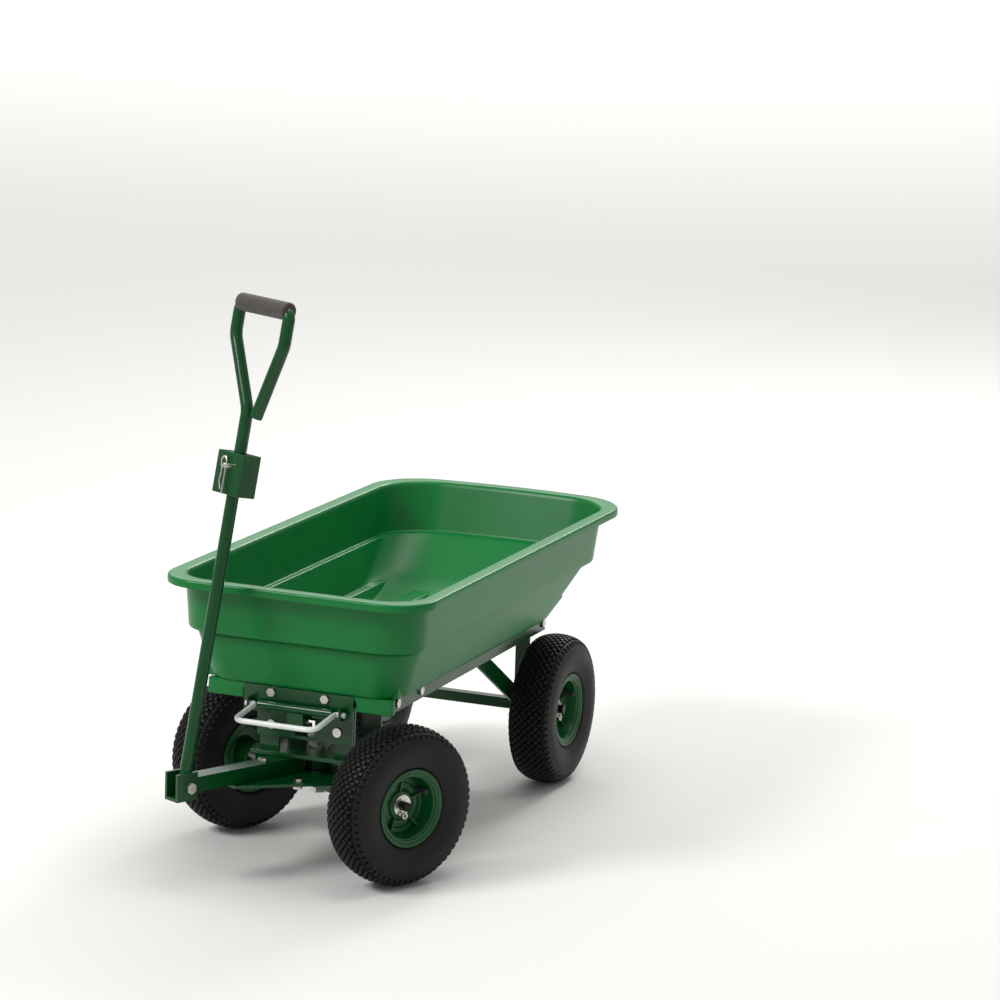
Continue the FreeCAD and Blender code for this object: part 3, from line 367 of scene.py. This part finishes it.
def foam_rubber(colours):
    """Foam rubber sleeve: very rough, with closed pores drawn 1.4 mm wide, coarser than life so that they show."""
    tree, shader = new_material("foam_rubber", IOR=1.45, Sheen_Weight=0.15, Sheen_Roughness=0.5)
    place = clouded(tree, shader, tuple(colours.grip), (0.75, 1.25), 70.0, (0.72, 0.9))
    pores = add(tree, "ShaderNodeTexVoronoi", {"Vector": place, "Scale": 700.0})
    bump = add(tree, "ShaderNodeBump", {"Height": pores.outputs["Distance"], "Distance": 0.0006, "Strength": 0.5})
    tree.links.new(bump.outputs["Normal"], shader.inputs["Normal"])


def plain_skin(name, base, roughness, grain, **surface):
    """A dipped, moulded or ground skin: one colour, faintly clouded, with `grain` fine lumps to the metre."""
    tree, shader = new_material(name, **surface)
    place = clouded(tree, shader, base, (0.88, 1.1), 40.0, (roughness - 0.05, roughness + 0.08))
    grained(tree, shader, place, grain, 2.0, 0.0002, 0.3)


def make_finishes(colours):
    """Make every finish of the cart."""
    moulded_polyethylene(colours)
    powder_coat("powder_coated_steel", tuple(colours.steel), 0.2)
    powder_coat("powder_coated_rim", tuple(colours.rim), 0.3)
    bright_zinc(colours)
    tyre_rubber(colours)
    foam_rubber(colours)
    # Vinyl dip: a soft, pale film over the latch wire.
    plain_skin("vinyl_dipped_wire", tuple(colours.wire), 0.32, 300.0, IOR=1.5)
    # Valve rubber: smooth moulded black with a low sheen.
    plain_skin("valve_rubber", linear("#101010"), 0.45, 900.0, IOR=1.5)
    # Black oxide: a dark, oily film on the turned ends of the axles.
    plain_skin("black_oxide_steel", linear("#1c1b1a"), 0.34, 900.0, Metallic=0.8)
    # Ground bearing steel: bright and even.
    plain_skin("ground_bearing_steel", linear("#a8a8a6"), 0.2, 1200.0, Metallic=1.0)


# ---- tray ----

REAR_BOW = 1150.0  # radius of the tray's bowed rear edge, in millimetres


def tray_rows(front, rear, half, front_round, rear_round, height, count=24):
    """Level outlines of the tray: straight front and sides, corner arcs and a wide rear arc.

    Each argument holds one value per level, in millimetres from the rear axle; the result is [level, point].
    """
    front, rear, half, front_round, rear_round, height = [
        np.asarray(level, float)[:, None] for level in (front, rear, half, front_round, rear_round, height)]
    centre = rear - REAR_BOW
    corner_x = half - rear_round
    corner_y = centre + np.sqrt((REAR_BOW - rear_round) ** 2 - corner_x ** 2)
    turn = np.arctan2(corner_y - centre, corner_x)
    t = np.linspace(0, 1, count)[None]
    inner = np.linspace(0, 1, 2 * count)[None, 1:-1]

    def arc(x, y, radius, first, last, steps):
        angle = first + (last - first) * steps
        return x + radius * np.cos(angle), y + radius * np.sin(angle)

    def run(x0, y0, x1, y1, steps):
        return x0 + (x1 - x0) * steps, y0 + (y1 - y0) * steps

    inner_x, front_y = half - front_round, -front
    parts = [
        run(-inner_x, front_y, inner_x, front_y, inner),
        arc(inner_x, front_y + front_round, front_round, -math.pi / 2, 0, t),
        run(half, front_y + front_round, half, corner_y, inner),
        arc(corner_x, corner_y, rear_round, 0, turn, t),
        arc(0, centre, REAR_BOW, turn, math.pi - turn, inner),
        arc(-corner_x, corner_y, rear_round, math.pi - turn, math.pi, t),
        run(-half, corner_y, -half, front_y + front_round, inner),
        arc(-inner_x, front_y + front_round, front_round, math.pi, 1.5 * math.pi, t),
    ]
    x = np.hstack([np.broadcast_to(p[0], (len(half), p[0].shape[1])) for p in parts])
    y = np.hstack([np.broadcast_to(p[1], (len(half), p[1].shape[1])) for p in parts])
    return np.stack([x, y, np.broadcast_to(height, x.shape)], -1)


FLOOR_TOP = 299.0  # height of the tray's floor
# Levels of the tray in millimetres: front, rear, half width, front corner, rear corner, height.
TRAY_OUTSIDE = [
    (560, -140, 60, 20, 40, 295), (692, 12, 171, 50, 80, 295), (711, 146, 192.6, 60, 90, 371),
    (708, 147, 190.4, 58, 88, 378), (724, 168, 205, 66, 96, 378), (731, 192, 210, 70, 100, 463.6),
    (750.5, 214.5, 228.5, 69, 99, 463.6), (750.5, 214.5, 228.5, 69, 99, 454),
]
TRAY_LIP = [(754, 218, 232, 72, 102, 454), (754, 218, 232, 72, 102, 467), (727, 190, 206, 64, 94, 467)]
TRAY_INSIDE = [
    (720, 164, 201, 62, 92, 382), (708, 148, 190, 56, 86, 382), (697, 30, 173, 49, 79, 317),
    (688, -70, 167, 46, 76, FLOOR_TOP), (560, -160, 60, 20, 40, FLOOR_TOP),
]


def tray_profile(lip_round):
    """One profile from under the floor, up the outside, over the rim and down the inside."""
    outside = soften(TRAY_OUTSIDE, [14, 4, 2, 3.5, 4, 1.2], 5)
    lip = soften([TRAY_OUTSIDE[-1], *TRAY_LIP, TRAY_INSIDE[0]], [1.2, lip_round, 9], 7)[1:-1]
    inside = soften([TRAY_LIP[-1], *TRAY_INSIDE], [4, 5, 45, 30], 7)[1:]
    return np.vstack([outside, lip, inside])


def tray_shell(sizes):
    """The tray's profile drawn round its level outlines, with one face under the floor and one on it."""
    points = tray_rows(*tray_profile(sizes.lip_round / MM).T)
    verts, (quads,) = grid(put(points, REAR_AXLE), False, True)
    count, total = points.shape[1], len(verts)
    caps = np.stack([np.arange(count)[::-1], np.arange(total - count, total)])
    return verts, [quads, caps]


SLOPE_FOOT, SLOPE_RUN = -30.0, 3.4  # where the dump slope meets the floor, and its run for each unit of rise


def floor_rib(left, right, height, slope_left, slope_right):
    """A raised band on the floor: a trapezium section swept from the front wall back to the dump slope.

    A point at height z ends at slope foot + slope run (z - floor), so the band's end lies on the slope.
    """
    front, sunk, foot = -676.0, FLOOR_TOP - 2, FLOOR_TOP + 0.2
    section = np.array([(left - slope_left, sunk), (left - slope_left, foot), (left, FLOOR_TOP + height),
                        (right, FLOOR_TOP + height), (right + slope_right, foot), (right + slope_right, sunk)])
    section = soften(section, [0.2, 2.5, 2.5, 0.2], 5)
    t = np.linspace(0, 1, 40)[:, None]
    end = SLOPE_FOOT + SLOPE_RUN * (section[:, 1] - FLOOR_TOP)
    y = front + (end - front) * t
    x = np.broadcast_to(section[:, 0], y.shape)
    z = np.broadcast_to(section[:, 1], y.shape)
    points = np.stack([x, y, z], -1)
    verts, (quads,) = grid(put(points, REAR_AXLE))
    rows, columns = points.shape[:2]
    caps = np.stack([np.arange(columns), np.arange((rows - 1) * columns, rows * columns)[::-1]])
    return verts, [quads[:, ::-1], caps]


def front_foot():
    """The foot under the tray's front edge, cut away in the middle for the latch bracket."""
    outer, inner, front, back = 162, 98, -688, -673
    strip = rounded([(-outer, front), (outer, front), (outer, back), (-outer, back)], 5)
    shells = [slab(strip, 286.5, 296, REAR_AXLE, 1.0)]
    for sign in (1, -1):
        block = rounded([(sign * inner, front), (sign * outer, front), (sign * outer, back), (sign * inner, back)], 4)
        shells.append(slab(block, 270, 289, REAR_AXLE, 1.5))
    return shells


class CART_OT_tray(bpy.types.Operator):
    """Draw the moulded tray with its stepped walls, rolled rim, floor ribs and front foot"""
    bl_idname = "cart.tray"
    bl_label = "Tray"

    def execute(self, context):
        sizes = context.scene.cart_sizes
        middle = sizes.rib_height / MM
        side = 1.83 * middle
        ribs = [floor_rib(62, 94, middle, 8, 8), floor_rib(-94, -62, middle, 8, 8),
                floor_rib(150, 167, side, 10, 0.5), floor_rib(-167, -150, side, 0.5, 10)]
        piece("tray", [tray_shell(sizes), *ribs, *front_foot()], "moulded_polyethylene", "tray",
              ["tray_shell"], 28)
        finish_nodes("powder_coated_steel", "tip_hinge_straps", "latch_bracket")
        return {"FINISHED"}


# ---- wheels ----

# Half of the tyre's section from the bead to the crown: axial distance, radius.
TYRE_HALF = [(27.5, 54), (28.5, 61), (28.6, 65.2), (31.5, 66.2), (33.6, 68), (34.2, 70.5), (35, 74), (37.2, 82),
             (38.6, 90), (38.9, 97), (38.3, 104), (37.4, 106.6), (37.7, 108.2), (36.9, 110), (36.2, 114),
             (35, 118), (33, 121.2), (29.5, 123.8), (22, 126.8), (14, 128.8), (7, 129.8), (0, 130)]
TYRE_LINING = [(-22, 54), (-26, 80), (-20, 112), (0, 121), (20, 112), (26, 80), (22, 54)]
TREAD_START = 14  # the row of TYRE_HALF where the grooves begin
BLOCK_WIDTH = 12.5  # width of one diamond across the tread
GROOVE_WALL = 0.06  # width of a groove's sloping wall, as a share of a block


def tyre(place, sizes):
    """A tyre: its section is revolved, and grooves are cut along the normal.

    With s the distance across the tread and c the distance round it, both counted in blocks, the diamonds are
    left between the lines where s + c and s - c are whole numbers; past the shoulder the grooves run straight
    across, where c is a whole number.
    """
    half = np.array(TYRE_HALF, float)
    section = np.vstack([half, (half * (-1, 1))[-2::-1]])
    along = np.concatenate([[0], np.cumsum(np.linalg.norm(np.diff(section, axis=0), axis=1))])
    crown = along[-1] / 2
    edge = along[TREAD_START], along[len(section) - 1 - TREAD_START]
    samples = np.concatenate([np.linspace(0, edge[0], 20)[:-1], np.linspace(*edge, 84),
                              np.linspace(edge[1], along[-1], 20)[1:]])
    axial, radius = np.interp(samples, along, section[:, 0]), np.interp(samples, along, section[:, 1])
    # The normal points away from the middle of the air space, at a radius of 95 mm.
    normal = np.stack([-np.gradient(radius, samples), np.gradient(axial, samples)], 1)
    normal *= np.sign(np.sum(normal * np.stack([axial, radius - 95], 1), axis=1))[:, None]
    normal /= np.linalg.norm(normal, axis=1)[:, None]
    pitches = sizes.tread_pitches
    count = pitches * 11
    angle = np.linspace(0, TURN, count, endpoint=False)
    s = (samples - crown)[:, None] / BLOCK_WIDTH
    c = angle[None] * pitches / TURN
    line = np.minimum(np.abs((s + c + 0.5) % 1 - 0.5), np.abs((s - c + 0.5) % 1 - 0.5))
    diamond_half, straight_half = 0.085, 0.13
    diamonds = np.clip((line - diamond_half) / GROOVE_WALL, 0, 1)
    straight = np.clip((np.abs((c + 0.5) % 1 - 0.5) - straight_half) / GROOVE_WALL, 0, 1)
    # A ring groove parts the diamonds from the shoulder, where the straight grooves run out in 2 mm.
    reach = np.abs(samples - crown)[:, None]
    ring_start, ring_end, ring_cut, last, fade = 29.0, 31.5, 0.85, edge[1] - crown, 2.0
    cut = np.where(reach < ring_start, 1 - diamonds, np.where(reach < ring_end, ring_cut, 1 - straight))
    depth = cut * np.clip((last - reach) / fade, 0, 1) * sizes.tread_depth / MM
    lining = np.array(TYRE_LINING, float)
    ring_axial = np.vstack([axial[:, None] - normal[:, :1] * depth, np.repeat(lining[:, :1], count, 1)])
    ring_radius = np.vstack([radius[:, None] - normal[:, 1:] * depth, np.repeat(lining[:, 1:], count, 1)])
    points = np.stack([ring_axial, ring_radius * np.sin(angle), ring_radius * np.cos(angle)], -1)
    return grid(put(points, place), True, True)


# The rim's closed section, from the hub's inner end over the barrel to the disc: axial distance, radius.
RIM_SECTION = [
    (-36, 17.6), (-36, 21.5), (-6, 23.5), (-3, 27), (-3, 42), (-6, 45.2), (-26, 48.5), (-31.8, 54), (-31.8, 62.6),
    (-30.6, 64), (-29.2, 63), (-29, 53), (29, 53), (29.2, 63), (30.6, 64), (31.9, 62.8), (31.9, 60.6),
    (27.5, 54.5), (26.6, 51.2), (25.2, 49.8), (8, 46.6), (1.6, 44.5), (1, 41), (1, 37), (2.4, 36), (2.4, 32.5),
    (1, 31.5), (1, 26.5), (2.4, 24), (5.4, 22.2), (6, 21), (6, 17.6), (-36, 17.6),
]


def rim(place, ribs):
    """A dished rim: its section is revolved and softened, and plain ribs join the hub to the barrel."""
    shells = [turned(soften(RIM_SECTION, 1.0, 4), 144, place)]
    outline = rounded([(0, 21), (5.5, 21), (7.5, 30), (12.5, 46.8), (0, 46.8)], 1.2)
    half_thick, first = 1.7, 0.3
    origin, axes = place
    for k in range(ribs):
        angle = TURN * (k + first) / ribs
        radial = axes[1] * math.cos(angle) + axes[2] * math.sin(angle)
        rib_place = (origin, np.stack([axes[0], radial, np.cross(axes[0], radial)]))
        shells.append(slab(outline, -half_thick, half_thick, rib_place, 0.7))
    return shells


def valve(place):
    """A rubber snap-in valve with a knurled cap, turned about its own line."""
    origin, axes = place
    base = (origin + (axes[1] * 35 + axes[2] * 20) * MM, axes)
    return turned([(1, 0.2), (1, 5.6), (3, 5.8), (4.5, 4.6), (12, 3.9), (14, 3.4), (16, 3.2), (16.2, 4.5),
                   (17, 4.8), (25, 4.6), (26, 3.6), (26, 0.2)], 28, base)


class CART_OT_wheels(bpy.types.Operator):
    """Draw the four pneumatic wheels: tyres with a diamond tread, ribbed rims, bearings and valves"""
    bl_idname = "cart.wheels"
    bl_label = "Wheels"

    def execute(self, context):
        sizes = context.scene.cart_sizes
        for corner in CORNERS:
            place, body = wheel_seat(corner), f"wheel_{corner}"
            piece(f"pneumatic_tyre_{corner}", [tyre(place, sizes)], "vulcanised_tyre_rubber", body,
                  [f"tyre_{corner}"], 40)
            piece(f"dished_rim_{corner}", rim(place, sizes.rim_ribs), "powder_coated_rim", body,
                  [f"rim_{corner}"], 32)
            piece(f"tyre_valve_{corner}", [valve(place)], "valve_rubber", body,
                  [f"valve_stem_{corner}"], 40)
            finish_nodes("ground_bearing_steel", f"bearings_{corner}")
        return {"FINISHED"}


# ---- handle, drawbar and latch ----

LOOP_TOP = 767  # height of the cross grip up the drawbar
PIPE_RADIUS, PIPE_WALL, PIPE_SIDES = 10, 2, 36
HANDLE_LINE = [(0, 0, 499), (0, 0, 603), (-60, 0, 716), (-60, 0, LOOP_TOP), (62, 0, LOOP_TOP), (62, 0, 712),
               (23.5, 0, 594)]


def coupling():
    """The folded coupling box: four walls round two inset end plates, with a seam down one edge."""
    half_x, half_y, low, high, sheet = 32.5, 17.0, 467.0, 534.0, 3.0
    front = [(-half_x, -half_y), (half_x - 1.5, -half_y), (half_x - 1.5, sheet - half_y), (-half_x, sheet - half_y)]
    folded = [(half_x - sheet, 0.4 - half_y), (half_x, 0.4 - half_y), (half_x, half_y), (-half_x, half_y),
              (-half_x, half_y - sheet), (half_x - sheet, half_y - sheet)]
    left = [(-half_x, 2 - half_y), (sheet - half_x, 2 - half_y), (sheet - half_x, half_y - 2), (-half_x, half_y - 2)]
    walls = [slab(rounded(corners, 0.6), low, high, BAR, 0.6) for corners in (front, folded, left)]
    plate = rounded([(-30, -15), (30, -15), (30, 15), (-30, 15)], 1.0)
    walls += [slab(plate, bottom, bottom + sheet, BAR, 0.5) for bottom in (low + 0.6, high - 4.2)]
    return walls


class CART_OT_handle(bpy.types.Operator):
    """Draw the pull handle, its foam sleeve, the coupling box, the hitch pin and its spring clip"""
    bl_idname = "cart.handle"
    bl_label = "Handle"

    def execute(self, context):
        line = rounded_line(HANDLE_LINE, [45, 45, 15, 15, 45], 14)
        loop = tube(line, PIPE_RADIUS, (0, 1, 0), BAR, PIPE_SIDES, PIPE_WALL)
        piece("pull_handle", [loop], "powder_coated_steel", "drawbar", ["handle_tube"], 40)
        # The sleeve's radius falls by a square law over the last `round_off` millimetres of each end.
        middle, half, radius, drop, round_off = 1, 60.9, 14.5, 3.2, 3.5
        x = np.linspace(middle - half, middle + half, 90)
        swell = radius - drop * np.clip(1 - (half - np.abs(x - middle)) / round_off, 0, 1) ** 2
        sleeve = np.stack([x, np.zeros_like(x), np.full_like(x, LOOP_TOP)], 1)
        grip = piece("foam_grip", [tube(sleeve, swell, (0, 1, 0), BAR, 40)], "foam_rubber", "drawbar",
                     ["hand_grip"], 40)
        piece("coupling", coupling(), "powder_coated_steel", "drawbar", ["coupling_box"], 30)
        pin_height = 512
        pin_seat = seat(BAR[0] + BAR[1][2] * pin_height * MM, -BAR[1][1], BAR[1][2])
        pin = turned([(-22.5, 0.1), (-22.5, 6.8), (-21.5, 7.5), (-19.5, 7.5), (-19, 4), (28, 4), (30, 2.6),
                      (30, 0.1)], 32, pin_seat)
        piece("hitch_pin_turned", [pin], "bright_zinc_plate", "hitch_pin", ["hitch_pin"], 35)
        clip = [(0, -24, 468), (0, -24, 521), (-6, -24, 529), (-13, -24, 521), (-7.5, -24, 502),
                (-11, -24, 488), (-5, -24, 474)]
        wire = tube(rounded_line(clip, [5, 5, 8, 12, 12], 8, 3), 1.5, (0, 1, 0), BAR, 14)
        piece("spring_clip", [wire], "bright_zinc_plate", "hitch_pin", ["r_clip"], 60)
        return {"FINISHED"}


class CART_OT_drawbar(bpy.types.Operator):
    """Draw the drawbar tube and finish the clevis, tongue, yoke and front axle"""
    bl_idname = "cart.drawbar"
    bl_label = "Drawbar and front axle"

    def execute(self, context):
        line = np.stack([np.zeros(60), np.zeros(60), np.linspace(-9.6, 487.6, 60)], 1)
        pipe = tube(line, PIPE_RADIUS, (0, 1, 0), BAR, PIPE_SIDES, PIPE_WALL)
        piece("drawbar_pipe", [pipe], "powder_coated_steel", "drawbar", ["drawbar_tube"], 40)
        finish_nodes("powder_coated_steel", "clevis", "tongue", "yoke_plate", "front_axle_beam")
        finish_nodes("black_oxide_steel", "front_stub_axles")
        finish_nodes("bright_zinc_plate", "kingpin", "drawbar_pivot_bolt", "steering_bolts",
                     "front_hub_washers", "front_split_pins")
        return {"FINISHED"}


class CART_OT_latch(bpy.types.Operator):
    """Draw the latch's dipped wire handle and finish its nose"""
    bl_idname = "cart.latch"
    bl_label = "Latch"

    def execute(self, context):
        corners = [(-87, -702, 266), (-70, -702, 266), (-70, -782, 258), (70, -782, 258), (70, -702, 266),
                   (87, -702, 266)]
        line = rounded_line(corners, [6, 16, 16, 6], 9, 4)
        normal = np.array([0, 0.0995, 0.995])  # square to the loop, which falls 1 in 10
        piece("latch_wire", [tube(line, 4.5, normal, REAR_AXLE, 20)], "vinyl_dipped_wire", "latch",
              ["latch_handle"], 60)
        finish_nodes("powder_coated_steel", "latch_hook")
        return {"FINISHED"}


# ---- chassis and fasteners ----

CHASSIS_STEEL = ("side_rail_right", "side_rail_left", "cross_bar_front", "cross_bar_middle", "cross_bar_rear",
                 "front_post_right", "front_post_left", "back_post_right", "back_post_left", "bolster_plate",
                 "rear_axle_beam", "rear_post_right", "rear_post_left", "rear_brace_right",
                 "rear_brace_left", "tip_hinge_lugs", "latch_striker")


class CART_OT_chassis(bpy.types.Operator):
    """Finish the welded chassis"""
    bl_idname = "cart.chassis"
    bl_label = "Chassis"

    def execute(self, context):
        finish_nodes("powder_coated_steel", *CHASSIS_STEEL)
        finish_nodes("black_oxide_steel", "rear_axle_rod")
        finish_nodes("bright_zinc_plate", "tip_hinge_rod", "rear_hub_washers", "rear_split_pins",
                     "frame_bolts", "tray_bolts")
        return {"FINISHED"}


# ---- stage ----

FLOOR_HALF, FLOOR_DROP = 32.0, 0.0005
# Soft boxes: name, place, aim, width in metres, power in watts.
LAMPS = (
    ("key", (-2.6, -3.4, 3.8), (0, 0, 0.3), 1.5, 190),
    ("top", (0.3, 0.6, 4.6), (0, 0, 0.3), 2.6, 90),
    ("back", (0.4, 4.2, 3.2), (0, 0, 0.4), 1.2, 90),
    ("wash", (-6.0, 15.0, 8.0), (-6.0, 15.0, 0), 16.0, 1700),
)
ROOM_STRENGTH = 0.5
CAMERA_PLACE = (2.672, -6.238, 1.945)
CAMERA_AZIMUTH, CAMERA_ELEVATION, CAMERA_ROLL = 21.68, 11.65, 1.894
CAMERA_SENSOR, CAMERA_LENS = 36.0, 150.05


class CART_OT_stage(bpy.types.Operator):
    """Lay a plain pale floor, light it softly and set the camera"""
    bl_idname = "cart.stage"
    bl_label = "Floor, light and camera"

    def execute(self, context):
        _, shader = new_material("pale_floor", Roughness=0.9)
        shader.inputs["Base Color"].default_value = (*linear("#d4d4d1"), 1)
        corners = [(-1, -1), (1, -1), (1, 1), (-1, 1)]
        mesh = bpy.data.meshes.new("floor")
        mesh.from_pydata([(x * FLOOR_HALF, y * FLOOR_HALF, -FLOOR_DROP) for x, y in corners], [], [(0, 1, 2, 3)])
        mesh.materials.append(bpy.data.materials["pale_floor"])
        floor = bpy.data.objects.new("floor", mesh)
        context.scene.collection.objects.link(floor)
        world = bpy.data.worlds.new("soft_room")
        world.use_nodes = True
        background = world.node_tree.nodes["Background"]
        background.inputs["Color"].default_value = (1, 1, 1, 1)
        background.inputs["Strength"].default_value = ROOM_STRENGTH
        context.scene.world = world
        context.scene.view_settings.view_transform = "Standard"
        for name, spot, aim, width, power in LAMPS:
            light = bpy.data.lights.new(name, "AREA")
            light.size, light.energy = width, power
            lamp = bpy.data.objects.new(name, light)
            facing = (Vector(spot) - Vector(aim)).to_track_quat("Z", "Y").to_matrix().to_4x4()
            lamp.matrix_world = Matrix.Translation(spot) @ facing
            context.scene.collection.objects.link(lamp)
        camera = bpy.data.cameras.new("camera")
        camera.sensor_width, camera.lens = CAMERA_SENSOR, CAMERA_LENS
        azimuth, elevation, roll = map(math.radians, (CAMERA_AZIMUTH, CAMERA_ELEVATION, CAMERA_ROLL))
        back = Vector((math.sin(azimuth) * math.cos(elevation), -math.cos(azimuth) * math.cos(elevation),
                       math.sin(elevation)))
        right = Vector((0, 0, 1)).cross(back).normalized()
        up = back.cross(right)
        turn = Matrix((right, up, back)).transposed().to_4x4() @ Matrix.Rotation(roll, 4, "Z")
        eye = bpy.data.objects.new("camera", camera)
        eye.matrix_world = Matrix.Translation(CAMERA_PLACE) @ turn
        context.scene.collection.objects.link(eye)
        context.scene.camera = eye
        return {"FINISHED"}


class CART_PT_panel(bpy.types.Panel):
    """Lists the cart's sizes, colours and pieces"""
    bl_idname = "CART_PT_panel"
    bl_label = "Garden dump cart"
    bl_space_type = "VIEW_3D"
    bl_region_type = "UI"
    bl_category = "Cart"

    def draw(self, context):
        for group in (context.scene.cart_sizes, context.scene.cart_colours):
            column = self.layout.column()
            for key in group.__annotations__:
                column.prop(group, key)
        for operator in OPERATORS:
            self.layout.operator(operator.bl_idname)


OPERATORS = (CART_OT_tray, CART_OT_wheels, CART_OT_handle, CART_OT_drawbar, CART_OT_latch, CART_OT_chassis,
             CART_OT_stage)
CLASSES = (CartColours, CartSizes, *OPERATORS, CART_PT_panel)


def register():
    for item in CLASSES:
        bpy.utils.register_class(item)
    bpy.types.Scene.cart_colours = PointerProperty(type=CartColours)
    bpy.types.Scene.cart_sizes = PointerProperty(type=CartSizes)


def unregister():
    del bpy.types.Scene.cart_sizes
    del bpy.types.Scene.cart_colours
    for item in reversed(CLASSES):
        bpy.utils.unregister_class(item)


def main():
    register()
    make_finishes(bpy.context.scene.cart_colours)
    for operator in OPERATORS:
        group, name = operator.bl_idname.split(".")
        getattr(getattr(bpy.ops, group), name)()


if __name__ == "__main__":
    main()
